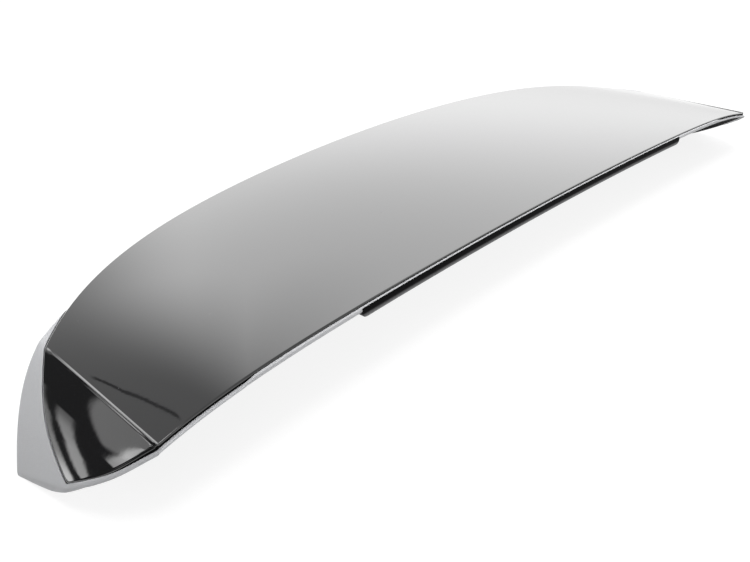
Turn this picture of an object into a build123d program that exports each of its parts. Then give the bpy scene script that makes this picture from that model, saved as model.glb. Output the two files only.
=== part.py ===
from build123d import *
from functools import cache
import math
import os

# Tailgate roof spoiler: a glossy upper skin laid on a hollow lower shell.
# X runs across the car, +Y to the rear, +Z up. All sizes are in millimetres.
# The model is drawn about the front ends of the two crease lines, then moved
# so that the origin is the middle of the surface that the spoiler lies on.

# Main panel of the upper skin
crease_half_front = 500.0
crease_half_rear = 494.0
crease_length = 153.0
crease_rise = 5.0
front_bow = 19.0
front_crown = 12.2
panel_depth = 236.0
trailing_rise = 54.3
panel_swell = 6.0
skin_wall = 3.0
rim_round = 1.2

# Turned-down ears at the two ends
ear_radius = 120.0
ear_start_angle = 27.0
ear_reach = 40.7
ear_tip_back = 51.0
ear_front_shoulder = (20.0, 14.0)
ear_rear_shoulder = (25.5, 101.0)
ear_wall_share = 0.6

# Styling groove along each crease, deepest at the front rim
groove_half_width = 2.0
groove_depth = 1.5
groove_fade = 0.92
groove_tip = 0.05

# Lower shell
stand_height = 55.0
shell_wall = 3.0
bond_gap = 0.3
seam_gap = 0.8
lip_overhang = 2.4
lip_depth = 5.6
lip_rise_depth = 1.4
lip_rise_gap = 0.35
lip_rise_reach = 423.0
rear_wall_height = 42.0
rear_wall_lean = 24.0
rear_edge_height = 9.0
rear_overhang = 1.5
foot_start = 112.0
foot_start_outside = 70.0
foot_roundness = 1.6
foot_trim = 0.5
foot_inner = 0.86
foot_outer = 1.0
flange_width = 14.0
rib_thickness = 2.5
rib_pitch = 150.0
ribs_each_side = 3

# Cheeks of the lower shell, outside the seam
cheek_reach = 51.0
cheek_corner_back = 108.0
cheek_shoulders = ((37.7, 125.0), (16.8, 146.8), (-8.1, 164.7))
cheek_join = 0.89

# Rubber seal along the middle of the front lip, with a leg up the lip's face
seal_half_length = 298.0
seal_front = 3.6
seal_leg_back = 1.5
seal_back = 3.4
seal_top = 2.6
seal_bottom = 11.2
seal_round = 0.9

# Fasteners
stud_radius = 3.0
stud_length = 18.0
stud_thread_length = 13.0
stud_shank_radius = 2.7
stud_inner_x = 170.0
stud_outer_x = 330.0
stud_setback = 62.0
stud_head_side = 13.0
stud_head_height = 4.0
stud_pocket_depth = 1.2
stud_pocket_clearance = 0.5
pad_radius = 11.0
pad_height = 3.0
gasket_radius = 10.0
gasket_thickness = 4.0
gasket_clearance = 0.3
screw_radius = 2.1
screw_head_radius = 4.2
screw_head_height = 2.6
screw_length = 11.0
screw_clearance = 0.3
screw_recess_radius = 5.2
boss_radius = 4.6
screw_seat = 3.0
screw_front_x = 245.0
screw_rear_x = (75.0, 225.0, 375.0)
screw_front_back = 70.0
screw_rear_ahead = 62.0

# Derived levels and limits of the construction
ground = -stand_height
base_level = -ear_radius - 20.0
sky_level = trailing_rise + panel_swell + 60.0
seat_depth = skin_wall + bond_gap
front_overrun = 0.18
rear_overrun = 0.22
rear_flatness = 0.95
half_stations = (0.2, 0.42, 0.62, 0.76, 0.85, 0.89, 0.93, 0.97, 1.0)
stations = tuple(-s for s in reversed(half_stations)) + (0.0,) + half_stations
floor_shares = (-front_overrun, 0.0, 0.12, 0.28, 0.46, 0.66, 0.85, 1 + rear_overrun)
lean_shares = (-1.0, -0.8, -0.55, -0.28, 0.0, 0.28, 0.55, 0.8, 1.0)
lean_reach = cheek_join - 0.04
lean_outside = 8.0
lean_below = 12.0
cut_overrun = 1.0
standing = (Align.CENTER, Align.CENTER, Align.MIN)
origin_back = (panel_depth - lip_overhang) / 2

# Shares of an even growth of the outlines that the corner points take
front_corner_share = 0.35
rear_corner_share = 0.7
front_shoulder_share = (0.65, 0.75)
rear_shoulder_share = (0.93, 0.35)
cheek_corner_share = 0.4
cheek_shoulder_share = 0.7


# Edges and surface of the main panel
def sweep_share(s):
    """Share of the rear sweep reached at station s, 0 in the middle and 1 at a crease."""
    return rear_flatness * s**6 + (1 - rear_flatness) * s**2


def front_rim(s, grow=0.0):
    """Point of the front rim at station s, from -1 at the left crease to 1 at the right one."""
    x = (crease_half_front + front_corner_share * grow) * s
    return Vector(x, front_bow * (1 - s**2) - grow, front_crown * (1 - s**8))


def trailing_edge(s, grow=0.0):
    """Point of the trailing edge at station s."""
    x = (crease_half_rear + rear_corner_share * grow) * s
    side = crease_length + rear_corner_share * grow
    middle = panel_depth + grow
    rise = trailing_rise - (trailing_rise - crease_rise) * s**2
    return Vector(x, middle - (middle - side) * sweep_share(s), rise)


def panel_point(s, t):
    """Point of the outer surface, t from 0 at the front rim to 1 at the trailing edge."""
    point = front_rim(s) + (trailing_edge(s) - front_rim(s)) * t
    swell = 4 * panel_swell * (1 - s**2) * t * (1 - t)
    return point + Vector(0, 0, swell)


def find_station(x, y):
    """Station s and share t of the panel at a place seen from above."""
    t = 0.5
    s = x / crease_half_front
    for _ in range(12):
        s = x / (crease_half_front + (crease_half_rear - crease_half_front) * t)
        front = front_rim(s).Y
        t = (y - front) / (trailing_edge(s).Y - front)
    return s, t


def skin_level(x, y):
    """Height of the outer surface at a place seen from above."""
    return panel_point(*find_station(x, y)).Z


# Underside of the lower shell
def foot_level(lip, back, outside):
    """Underside height beneath an ear, at a distance back from the lip, or far outside the ear."""
    start = foot_start_outside if outside else foot_start
    left = max(0.0, 1 - max(0.0, back) / start)
    return lip - (stand_height + foot_trim + lip) * (1 - left**foot_roundness)


def foot_share(s):
    """Share of the foot in the underside, 0 along the middle and 1 at a crease."""
    ramp = min(1.0, max(0.0, (abs(s) - foot_inner) / (foot_outer - foot_inner)))
    return ramp * ramp * (3 - 2 * ramp)


def floor_level(s, t, outside=False):
    """Underside height of the shell at station s and share t."""
    lip = front_rim(s).Z - lip_depth
    rear = trailing_edge(s).Z - rear_wall_height
    middle = lip + (rear - lip) * t
    foot = foot_level(lip, panel_point(s, t).Y - front_rim(s).Y, outside)
    return middle + (foot - middle) * foot_share(s)


# Solids bounded by the outer surface or by the underside
def closed_section(top, bottom_level):
    """Section wire between a top curve and a straight line at the given level."""
    start = top @ 0
    end = top @ 1
    start_low = Vector(start.X, start.Y, bottom_level)
    end_low = Vector(end.X, end.Y, bottom_level)
    sides = [Line(start_low, start), top, Line(end, end_low), Line(end_low, start_low)]
    return Wire(sides)


def panel_curve(s, depth):
    """Parabola across the panel at station s, lowered by depth."""
    lowered = Vector(0, 0, -depth)
    start = panel_point(s, -front_overrun) + lowered
    end = panel_point(s, 1 + rear_overrun) + lowered
    middle = panel_point(s, (1 + rear_overrun - front_overrun) / 2) + lowered
    return Bezier(start, middle * 2 - (start + end) * 0.5, end)


def crease_at(side, t):
    """Point on a crease line, t from 0 at the front rim to 1 at the trailing edge."""
    front = Vector(side * crease_half_front, 0, 0)
    rear = Vector(side * crease_half_rear, crease_length, crease_rise)
    return front + (rear - front) * t


def ear_profile(side, depth):
    """Wire of the ear's arc, lowered square to the surface, down to the base level."""
    start_angle = math.radians(ear_start_angle)
    radius = ear_radius - depth
    corner = crease_at(side, -front_overrun)
    first = math.asin(ear_radius * math.sin(start_angle) / radius)
    last = math.pi / 2

    def place(angle):
        out = radius * math.sin(angle) - ear_radius * math.sin(start_angle)
        up = radius * math.cos(angle) - ear_radius * math.cos(start_angle)
        return corner + Vector(side * out, 0, up)

    arc = ThreePointArc(place(first), place((first + last) / 2), place(last))
    return closed_section(arc, base_level)


def ear_under(side, depth):
    """Solid below the ear's surface, run along the crease line."""
    along = crease_at(side, 1 + rear_overrun) - crease_at(side, -front_overrun)
    profile = Face(ear_profile(side, depth))
    return extrude(profile, amount=along.length, dir=along.normalized())


def panel_under(depth):
    """Solid below the panel's surface, lowered by depth."""
    return Solid.make_loft([closed_section(panel_curve(s, depth), base_level) for s in stations])


@cache
def under(depth):
    """Solid below the whole outer surface, lowered by depth."""
    ear_depth = ear_wall_share * depth
    return panel_under(depth) + ear_under(1, ear_depth) + ear_under(-1, ear_depth)


def floor_section(s, lift, out=0.0):
    """Section below the underside at station s, or outside it by out."""
    points = []
    for t in floor_shares:
        place = panel_point(s, t)
        points.append(Vector(place.X + out, place.Y, floor_level(s, t, out != 0) + lift))
    return closed_section(Spline(*points), base_level)


def below_floor(lift):
    """Solid below the shell's underside, raised by lift."""
    floor = Solid.make_loft([floor_section(s, lift) for s in stations])
    for side in (-1, 1):
        outside = floor_section(side, lift, 2 * side * cheek_reach)
        floor = floor + Solid.make_loft([floor_section(side, lift), outside], True)
    return floor


# Outlines seen from above
def prism(edges):
    """Upright prism over a closed outline."""
    return Pos(0, 0, base_level) * extrude(Face(Wire(edges)), amount=sky_level - base_level, dir=(0, 0, 1))


def flat(point):
    """The same place at zero height."""
    return Vector(point.X, point.Y, 0)


def mirrored(points):
    """The points of the right end, for the left end and in reverse order."""
    return [Vector(-p.X, p.Y, p.Z) for p in reversed(points)]


def front_curve(grow):
    return Spline(*[flat(front_rim(s, grow)) for s in stations])


def rear_curve(grow, reach=1.0):
    return Spline(*[flat(trailing_edge(-reach * s, grow)) for s in stations])


def ear_points(grow):
    """Ear outline from the crease front round the tip to the crease rear, right side."""
    front_out = crease_half_front + ear_front_shoulder[0] + front_shoulder_share[0] * grow
    front_back = ear_front_shoulder[1] - front_shoulder_share[1] * grow
    rear_out = crease_half_front + ear_rear_shoulder[0] + rear_shoulder_share[0] * grow
    rear_back = ear_rear_shoulder[1] + rear_shoulder_share[1] * grow
    return [
        flat(front_rim(1, grow)),
        Vector(front_out, front_back),
        Vector(crease_half_front + ear_reach + grow, ear_tip_back),
        Vector(rear_out, rear_back),
        flat(trailing_edge(1, grow)),
    ]


def skin_prism(grow=0.0):
    """Prism over the outline of the upper skin, grown all round."""
    points = ear_points(grow)
    right = Spline(*points)
    left = Spline(*mirrored(points))
    return prism([front_curve(grow), right, rear_curve(grow), left])


def shell_prism(inset=0.0):
    """Prism over the outline of the lower shell, drawn in all round by inset."""
    grow = lip_overhang - inset
    nose = ear_points(grow)[:3]
    corner = Vector(crease_half_front + cheek_reach - inset, cheek_corner_back - cheek_corner_share * inset)
    drawn_in = cheek_shoulder_share * inset
    shoulders = [Vector(crease_half_front + out - drawn_in, back - drawn_in) for out, back in cheek_shoulders]
    join = flat(trailing_edge(cheek_join, -rear_overhang - inset))
    rear = [corner] + shoulders + [join]
    edges = [
        front_curve(grow),
        Spline(*nose),
        Line(nose[-1], corner),
        Spline(*rear),
        rear_curve(-rear_overhang - inset, cheek_join),
        Spline(*mirrored(rear)),
        Line(mirrored(nose)[0], mirrored([corner])[0]),
        Spline(*mirrored(nose)),
    ]
    return prism(edges)


def front_strip(half_length, front, back):
    """Prism over a strip that follows the front rim, from front to back of it."""
    reach = half_length / crease_half_front
    shares = [reach * s for s in stations]
    near = [flat(front_rim(s)) + Vector(0, -front, 0) for s in shares]
    far = [flat(front_rim(s)) + Vector(0, back, 0) for s in reversed(shares)]
    return prism([Spline(*near), Line(near[-1], far[0]), Spline(*far), Line(far[-1], near[0])])


def rear_lean_cutter(inset):
    """Wedge that leans the rear wall forward, fading out towards the cheeks."""
    sections = []
    for share in lean_shares:
        s = lean_reach * share
        edge = trailing_edge(s)
        ahead = (front_rim(s) - edge).normalized()
        ahead = Vector(ahead.X, ahead.Y, 0).normalized()
        lean = (rear_wall_lean + lean_outside) * (1 - share**4) - lean_outside + inset
        low = floor_level(s, 1.0) - lean_below
        high = edge.Z - rear_edge_height
        top_back = flat(edge) + ahead * (inset - lean_outside) + Vector(0, 0, high)
        low_front = flat(edge) + ahead * lean + Vector(0, 0, low)
        low_back = flat(edge) - ahead * (2 * lean_outside) + Vector(0, 0, low)
        high_back = flat(edge) - ahead * (2 * lean_outside) + Vector(0, 0, high)
        sections.append(Wire.make_polygon([top_back, low_front, low_back, high_back]))
    return Solid.make_loft(sections)


def post(x, y, low, high, radius):
    """Upright cylinder between two heights."""
    return Pos(x, y, (low + high) / 2) * Cylinder(radius, high - low)


# Places of the fasteners, each with the underside height there
def fastener_places(places):
    found = []
    for x, y in places:
        found.append((x, y, floor_level(*find_station(x, y))))
    return found


def stud_places():
    places = []
    for x in (-stud_outer_x, -stud_inner_x, stud_inner_x, stud_outer_x):
        places.append((x, front_rim(x / crease_half_front).Y + stud_setback))
    return fastener_places(places)


def screw_places():
    places = []
    for x in (-screw_front_x, screw_front_x):
        places.append((x, front_rim(x / crease_half_front).Y + screw_front_back))
    for out in screw_rear_x:
        for x in (-out, out):
            places.append((x, trailing_edge(x / crease_half_rear).Y - screw_rear_ahead))
    return fastener_places(places)


# Level faces cut for the fasteners
def stud_face(floor):
    return floor - pad_height


def stud_head_seat(floor):
    return floor + shell_wall + stud_pocket_depth


def screw_head_seat(floor):
    return floor + screw_head_height


def boss_foot(floor):
    return screw_head_seat(floor) + screw_seat


def make_upper_skin(outer, inner):
    """Glossy skin with its grooves, turned-down ears and screw bosses."""
    skin = (outer - inner) & skin_prism()
    for x, y, floor in screw_places():
        foot = boss_foot(floor)
        boss = post(x, y, foot, skin_level(x, y) + boss_radius, boss_radius) & outer
        pilot = post(x, y, foot - cut_overrun, foot - screw_seat + screw_length, screw_radius)
        skin = skin + boss - pilot
    for side in (-1, 1):
        skin = skin - groove(side)
    return fillet(upper_rim(skin), rim_round)


def upper_rim(skin):
    """Long front and rear edges of the panel that lie on its outer surface."""
    outline = [edge for edge in skin.edges() if edge.length > crease_half_front]
    rim = []
    for edge in outline:
        middle = edge @ 0.5
        above = [other @ 0.5 for other in outline if (other @ 0.5).Z > middle.Z]
        if all((flat(point) - flat(middle)).length > skin_wall for point in above):
            rim.append(edge)
    return rim


def groove(side):
    """Long V wedge along a crease, from the front rim to where it fades out."""
    front = crease_at(side, -front_overrun)
    rear = crease_at(side, groove_fade)
    deep = groove_depth * (1 + front_overrun)
    wide = groove_half_width * (1 + front_overrun)

    def vee(corner, half, depth):
        left = corner + Vector(-2 * half, 0, groove_depth)
        right = corner + Vector(2 * half, 0, groove_depth)
        return Wire.make_polygon([left, corner + Vector(0, 0, -depth), right])

    return Solid.make_loft([vee(front, wide, deep), vee(rear, groove_tip, groove_tip)], True)


def make_lower_shell(outer, seat):
    """Hollow shell with lip, cheeks, feet, rear wall, ribs and pads."""
    outline = shell_prism()
    behind_tip = half_space_box(ear_tip_back + panel_depth / 2)
    cheeks = (outer & outline & behind_tip) - skin_prism(seam_gap)
    lip_rise = front_strip(lip_rise_reach, lip_overhang, -lip_rise_gap) & under(lip_rise_depth)
    body = (seat & outline) + cheeks + lip_rise
    body = body - below_floor(0) - rear_lean_cutter(0)
    body = body - make_cavity(outer)
    body = body - seal_space(seal_half_length + bond_gap, 4 * seal_front)
    below_ground = Box(3 * crease_half_front, 2 * panel_depth, ground - base_level, align=standing)
    body = body - Pos(0, panel_depth / 2, base_level) * below_ground
    return body + shell_pads() - shell_holes()


def half_space_box(middle):
    """Box as deep as the panel and wider than the part, centred at the given place along Y."""
    return Pos(0, middle, 0) * Box(3 * crease_half_front, panel_depth, 4 * panel_depth)


def shell_pads():
    """Pads under the studs and screws."""
    pads = []
    for x, y, floor in stud_places():
        pads.append(post(x, y, stud_face(floor), stud_head_seat(floor), pad_radius))
    for x, y, floor in screw_places():
        pads.append(post(x, y, floor, boss_foot(floor), screw_recess_radius + shell_wall))
    return pads


def shell_holes():
    """Holes and pockets for the studs and screws."""
    holes = []
    for x, y, floor in stud_places():
        side = stud_head_side + 2 * stud_pocket_clearance
        pocket = Box(side, side, 2 * stud_head_height, align=standing)
        holes.append(Pos(x, y, stud_head_seat(floor)) * pocket)
        low = stud_face(floor) - cut_overrun
        high = stud_head_seat(floor) + cut_overrun
        holes.append(post(x, y, low, high, stud_radius + gasket_clearance))
    for x, y, floor in screw_places():
        holes.append(post(x, y, floor - 2 * shell_wall, screw_head_seat(floor), screw_recess_radius))
        holes.append(post(x, y, floor, boss_foot(floor) + cut_overrun, screw_radius + screw_clearance))
    return holes


def make_cavity(outer):
    """Hollow of the shell: closed under the cheeks and flange, open below the skin."""
    wide = shell_prism(shell_wall) & under(seat_depth + shell_wall)
    mouth = skin_prism(-flange_width) & outer
    cavity = (wide + mouth) - below_floor(shell_wall) - rear_lean_cutter(shell_wall)
    ribs = []
    for number in range(-ribs_each_side, ribs_each_side + 1):
        slab = Box(rib_thickness, 2 * panel_depth, 4 * panel_depth)
        ribs.append(Pos(number * rib_pitch, panel_depth / 2, 0) * slab & under(seat_depth))
    return cavity - ribs


def seal_space(half_length, front):
    """Room of the seal: a leg in front of the lip's face and a block below the lip."""
    leg = front_strip(half_length, front, -seal_leg_back) & under(seal_top)
    block = front_strip(half_length, front, seal_back) & under(lip_depth)
    return leg + block


def make_seal():
    """Rubber strip on the lip's front face and underside, with rounded front edges."""
    seal = seal_space(seal_half_length, seal_front) - under(seal_bottom)
    long_edges = ShapeList([edge for edge in seal.edges() if edge.length > seal_half_length])
    front_edges = long_edges.sort_by(Axis.Y)[:2]
    return fillet(front_edges, seal_round)


def make_studs():
    """Square-headed studs, dropped into the shell from above, with a thread below a thinner shank."""
    studs = []
    for x, y, floor in stud_places():
        seat = stud_head_seat(floor)
        head = Pos(x, y, seat + stud_head_height / 2) * Box(stud_head_side, stud_head_side, stud_head_height)
        tip = stud_face(floor) - stud_length
        thread = post(x, y, tip, tip + stud_thread_length, stud_radius)
        shank = post(x, y, tip + stud_thread_length, seat, stud_shank_radius)
        studs.append(head + shank + thread)
    return studs


def make_gaskets():
    """Foam rings that seal each stud against the tailgate."""
    rings = []
    for x, y, floor in stud_places():
        face = stud_face(floor)
        ring = post(x, y, face - gasket_thickness, face, gasket_radius)
        low = face - gasket_thickness - cut_overrun
        rings.append(ring - post(x, y, low, face + cut_overrun, stud_radius + gasket_clearance))
    return rings


def make_screws():
    """Pan-headed screws that draw the skin's bosses down on the shell."""
    screws = []
    for x, y, floor in screw_places():
        seat = screw_head_seat(floor)
        head = post(x, y, seat - screw_head_height, seat, screw_head_radius)
        screws.append(head + post(x, y, seat, seat + screw_length, screw_radius))
    return screws


def write(name, shapes):
    """Move a node to the part's frame and write it."""
    home = Pos(0, -origin_back, stand_height)
    solids = []
    for shape in shapes:
        solids.extend((home * shape).solids())
    export_step(Compound(solids) if len(solids) > 1 else solids[0], f"parts/{name}.step")
    print(name, len(solids), [round(solid.volume) for solid in solids])


def main():
    os.makedirs("parts", exist_ok=True)
    outer = under(0)
    inner = under(skin_wall)
    seat = under(seat_depth)
    write("upper_skin", [make_upper_skin(outer, inner)])
    write("lower_shell", [make_lower_shell(outer, seat)])
    write("leading_edge_seal", [make_seal()])
    write("mounting_studs", make_studs())
    write("stud_gaskets", make_gaskets())
    write("assembly_screws", make_screws())


main()
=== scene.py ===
import math

import bpy
import numpy as np
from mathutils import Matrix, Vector


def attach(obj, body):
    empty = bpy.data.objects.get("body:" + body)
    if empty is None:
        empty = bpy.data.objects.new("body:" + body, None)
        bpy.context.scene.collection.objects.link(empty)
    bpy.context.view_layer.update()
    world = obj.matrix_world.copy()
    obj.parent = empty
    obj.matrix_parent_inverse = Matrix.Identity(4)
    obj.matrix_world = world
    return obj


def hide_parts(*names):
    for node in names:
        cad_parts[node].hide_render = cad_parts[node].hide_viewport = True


bl_info = {
    "name": "Tailgate roof spoiler",
    "version": (1, 0, 0),
    "blender": (4, 5, 0),
    "location": "View3D > Sidebar > Spoiler",
    "description": "Models a glossy tailgate roof spoiler on its packed frame",
    "category": "Object",
}

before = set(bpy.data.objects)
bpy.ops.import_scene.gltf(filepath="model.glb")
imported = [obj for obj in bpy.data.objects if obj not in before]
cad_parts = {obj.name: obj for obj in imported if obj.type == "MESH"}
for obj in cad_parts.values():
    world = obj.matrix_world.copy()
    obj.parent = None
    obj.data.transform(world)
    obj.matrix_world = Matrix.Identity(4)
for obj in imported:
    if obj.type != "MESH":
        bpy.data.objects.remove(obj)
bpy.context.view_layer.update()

# Shares and powers of the curves

CROWN_POWER = 8
RIM_SIDE_GROWTH = 0.35
TRAILING_SIDE_GROWTH = 0.7
TRAILING_SQUARENESS = 0.95
WALL_END = 0.04
BEAD_FADE_POWER = 0.7
STATION_ROUNDS = 14

# Small lengths of the shapes, in metres

EAR_WALL_CHANGE = (0.003, 0.014)
EAR_ROUND_CHANGE = (0.03, 0.05)
TIP_GAP_CHANGE = (0.049, 0.056)
LIP_RISE_END = (-0.012, 0.006)
CREASE_REACH = 0.008
CREASE_INSIDE = 0.02
OUTER_FOOT_SPAN = 0.102
WALL_MARGIN = 0.008
WALL_SINK = 0.012
WALL_BLEND = 0.0025
LIP_ROUND = 0.0006
SEAM_EDGE_ROUND = 0.0005
SHELL_ROUND = 0.001
LEAST_WALL = 0.001
PAINTED_EDGE = 0.0025
PAINTED_REAR = 0.1
PAINTED_START = 0.004
SEAL_CLEARANCE = 0.0001
SEAL_LEAST_FOOT = 0.0015
MERGE_DISTANCE = 0.000002

# Rows and columns of the meshes: counts, and distances from an edge in metres or in radii of its rounding

PANEL_ROWS = 72
PANEL_COLUMNS = 62
EAR_COLUMNS = 22
SHELL_ROWS = 76
CHEEK_COLUMNS = 26
SEAL_COLUMNS = 81
EDGE_CURL = np.array((0.0, 0.03, 0.13, 0.29, 0.5, 0.75, 1.0, 1.35))
EDGE_DEPTH = 0.19
CREASE_START = 0.012
CREASE_COARSE = np.linspace(0.009, 0.0052, 5)
CREASE_FINE = np.arange(0.0050, -1e-9, -0.0002)
EAR_FINE = np.arange(0.0002, 0.0041, 0.0002)
NARROW_EAR = 0.008
NARROW_CHEEK = 0.004
LIP_CURL = (0.0, 0.0001, 0.0003, 0.0006, 0.001, 0.0015)
LIP_STEP = 0.00002
SEAM_CURL = np.array((0.0, 0.0001, 0.0003, 0.0006))
BROW_CURL = np.array((0.0012, 0.0007, 0.0003, 0.0001, 0.0))

# Light: levels, and directions in degrees as azimuths from straight behind to the right and as heights

PLAIN_LEVEL = 0.78
SURROUND_STRENGTH = 0.8
DARK_SIDE = (0.1, (-150.0, -50.0), (-30.0, 60.0), 12.0)
BRIGHT_REAR = (4.0, (-10.0, 22.0), (-12.0, 27.0), 5.0)
DARK_REAR = (0.09, (-66.0, -16.5), (-20.0, 43.0), 2.0)
LOW_REAR = (3.5, (-32.0, -6.0), (-12.0, 12.0), 3.0)
CHEEK_LIGHT = (0.8, (-86.0, -68.0), (16.0, 32.0), 4.0)
CREASE_LIGHT = (4.0, (-14.5, 5.0), (38.0, 53.0), 1.5)
GLOW_HEIGHTS = (-2.0, 34.0)
GLOW_LEVELS = (1.35, 3.5)
GLOW_TOP = (41.0, 50.0)
GLOW_SIDES = (18.0, 112.0)
GLOW_SOFT = 12.0
GLOW_TURN = 38.0
GLOW_SLOPE = 0.25
FRONT_LEVEL = 1.2
FRONT_AZIMUTHS = (145.0, 200.0)
FRONT_AZIMUTH_SOFT = 8.0
FRONT_HEIGHTS = (-8.0, 38.0)
FRONT_HEIGHT_SOFT = 6.0
OVERHEAD_LEVEL = 11.0
OVERHEAD_HEIGHTS = (75.0, 80.0)
PATCH_LEVEL = 1.5
PATCH_TURN = 34.3
PATCH_SLOPE = 0.69
PATCH_EDGE = (28.1, 29.1)
PATCH_AZIMUTHS = (-35.0, -15.0)
PATCH_AZIMUTH_SOFT = 0.8
PATCH_HEIGHTS = (20.0, 48.0)
PATCH_HEIGHT_SOFT = 2.0
STRIP_CORE = 0.4
STRIP_END_SOFT = 0.5
FLOOR_MATT = 0.62
FLOOR_PALE = 0.20
FLOOR_GLOW = 0.86
FLOOR_RADIUS = 9.0

# Camera, in metres and millimetres

CAMERA_PLACE = (-0.7019, -0.4878, 0.3866)
CAMERA_AIM = (0.6526, 0.5937, -0.4709)
CAMERA_LENS = 38.4
CAMERA_SENSOR = 36.0


# Property helpers

def length(name, default, description):
    """Float property for a length in metres."""
    return bpy.props.FloatProperty(
        name=name, description=description, default=default, precision=4, unit="LENGTH", subtype="DISTANCE"
    )


def share(name, default, description):
    """Float property for a plain share or power."""
    return bpy.props.FloatProperty(name=name, description=description, default=default, precision=3)


def colour(name, default, description):
    """Colour property."""
    return bpy.props.FloatVectorProperty(
        name=name, description=description, default=default, size=3, min=0.0, max=1.0, subtype="COLOR"
    )


class SpoilerSizes(bpy.types.PropertyGroup):
    """Driving sizes of the spoiler, about the front ends of its crease lines"""

    crease_half_front: length("Crease half front", 0.5, "Half the distance between the creases in front")
    crease_half_rear: length("Crease half rear", 0.494, "Half the distance between the creases at the rear")
    crease_length: length("Crease length", 0.153, "Length of a crease line along the car")
    crease_rise: length("Crease rise", 0.005, "Rise of a crease line to the rear")
    front_bow: length("Front bow", 0.019, "Hollow of the front rim seen from above")
    front_crown: length("Front crown", 0.0122, "Height of the front rim's middle over its ends")
    panel_depth: length("Panel depth", 0.236, "Depth from the crease fronts to the trailing edge's middle")
    trailing_rise: length("Trailing rise", 0.0543, "Height of the trailing edge in the middle")
    panel_swell: length("Panel swell", 0.006, "Crown of the panel from front to rear")
    skin_wall: length("Skin wall", 0.003, "Wall of the skin")
    rim_round: length("Rim rounding", 0.0012, "Rounding of the skin's front and rear edges")
    seam_round: length("Seam rounding", 0.0004, "Rounding of the skin's edges beside the seam")
    ear_radius: length("Ear radius", 0.12, "Radius of the turned-down ears")
    ear_start: bpy.props.FloatProperty(
        name="Ear start",
        description="Slope of an ear at its crease",
        default=math.radians(27.0),
        subtype="ANGLE",
    )
    ear_wall: share("Ear wall share", 0.6, "Wall of the ears beside the seam as a share of the skin's wall")
    nose_reach: length("Nose reach", 0.029, "Distance behind the crease front where lip and ear are level")
    nose_gap: share("Nose gap share", 0.3, "Seam gap in front of the ear's tip as a share of the full gap")
    crease_blend: length("Crease blend", 0.0005, "Rounding of the crease between panel and ear")
    bead_half_width: length("Bead half width", 0.0018, "Half width of the fine bead along a crease")
    bead_height: length("Bead height", 0.0011, "Height of the crease bead at the front rim")
    bead_fade: share("Bead fade", 0.95, "Share of the crease at which the bead has faded out")
    stand_height: length("Stand height", 0.055, "Height of the crease fronts over the ground")
    seam_gap: length("Seam gap", 0.0008, "Gap between the skin and the cheeks")
    bond_gap: length("Bond gap", 0.0003, "Gap between the skin and the shell below it")
    lip_overhang: length("Lip overhang", 0.0024, "How far the lip stands out in front of the skin")
    lip_depth: length("Lip depth", 0.0056, "Depth of the lip's underside below the rim")
    lip_rise_depth: length("Lip rise depth", 0.0014, "Depth of the lip's raised edge below the rim")
    lip_rise_gap: length("Lip rise gap", 0.00035, "Gap between the lip's raised edge and the rim")
    lip_rise_reach: length("Lip rise reach", 0.423, "Half the length of the lip's raised edge")
    rear_wall_height: length("Rear wall height", 0.042, "Height of the rear wall below the trailing edge")
    rear_wall_lean: length("Rear wall lean", 0.024, "How far the rear wall leans forward")
    rear_edge_height: length("Rear edge height", 0.009, "Height of the upright band on the rear wall")
    rear_overhang: length("Rear overhang", 0.0015, "How far the skin overhangs the rear wall")
    foot_start: length("Foot start", 0.112, "Distance behind the lip at which a foot reaches the ground")
    foot_start_outside: length("Outer foot start", 0.07, "The same distance outside the cheeks")
    foot_roundness: share("Foot roundness", 1.6, "Power of the curve from the lip to the foot")
    foot_trim: length("Foot trim", 0.0005, "Depth trimmed off to make the feet flat")
    foot_inner: share("Foot inner share", 0.86, "Station at which a foot begins")
    foot_outer: share("Foot outer share", 1.0, "Station at which a foot is full")
    cheek_join: share("Cheek join", 0.89, "Station at which a cheek joins the rear wall")
    seal_half_length: length("Seal half length", 0.298, "Half the length of the rubber seal")
    seal_front: length("Seal front", 0.0036, "How far the seal stands out in front of the rim")
    seal_back: length("Seal back", 0.0034, "How far the seal reaches behind the rim")
    seal_top: length("Seal top", 0.0015, "Depth of the seal's top below the rim")
    seal_bottom: length("Seal bottom", 0.0112, "Depth of the seal's underside below the rim")
    seal_end_round: length("Seal end rounding", 0.006, "Rounding of the seal's lower corners")


class SpoilerColours(bpy.types.PropertyGroup):
    """Colours of the spoiler's finishes"""

    skin: colour("Skin", (0.0055, 0.0056, 0.0062), "Black gloss paint of the upper skin")
    dust: colour("Dust", (0.16, 0.16, 0.165), "Fine dust specks on the gloss paint")
    shell: colour("Shell", (0.58, 0.585, 0.60), "Satin paint of the lower shell")
    shell_dark: colour("Shell shade", (0.47, 0.475, 0.49), "Darker flakes of the satin paint")
    # Bare black plastic; on the shell's underside inboard of the creases this black is also painted shade
    # under the feet.
    raw_and_shade: colour("Raw plastic", (0.0035, 0.0035, 0.0037), "Bare black plastic of cut edges and undersides")
    rubber: colour("Rubber", (0.0035, 0.0035, 0.0038), "Rubber of the seal")
    # Painted reflection: this pale grey stands in for floor light on the seal's lower face; the rubber
    # itself is black.
    rubber_foot_painted_light: colour("Rubber foot", (0.30, 0.30, 0.305), "Paler foam at the seal's foot")
    steel: colour("Steel", (0.62, 0.61, 0.59), "Plated steel of the studs and screws")
    foam: colour("Foam", (0.025, 0.025, 0.027), "Foam of the stud gaskets")


# Surfaces of the spoiler, in metres about the crease fronts

def smooth_min(a, b, blend):
    """Lower of two heights with a rounded change between them."""
    return np.minimum(a, b) - np.maximum(blend - np.abs(a - b), 0.0) ** 2 / (4 * blend)


def smooth_max(a, b, blend):
    """Higher of two heights with a rounded change between them."""
    return np.maximum(a, b) + np.maximum(blend - np.abs(a - b), 0.0) ** 2 / (4 * blend)


def smooth_step(value, low, high):
    """Smooth rise from 0 at low to 1 at high."""
    ramp = np.clip((value - low) / (high - low), 0.0, 1.0)
    return ramp * ramp * (3 - 2 * ramp)


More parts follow.
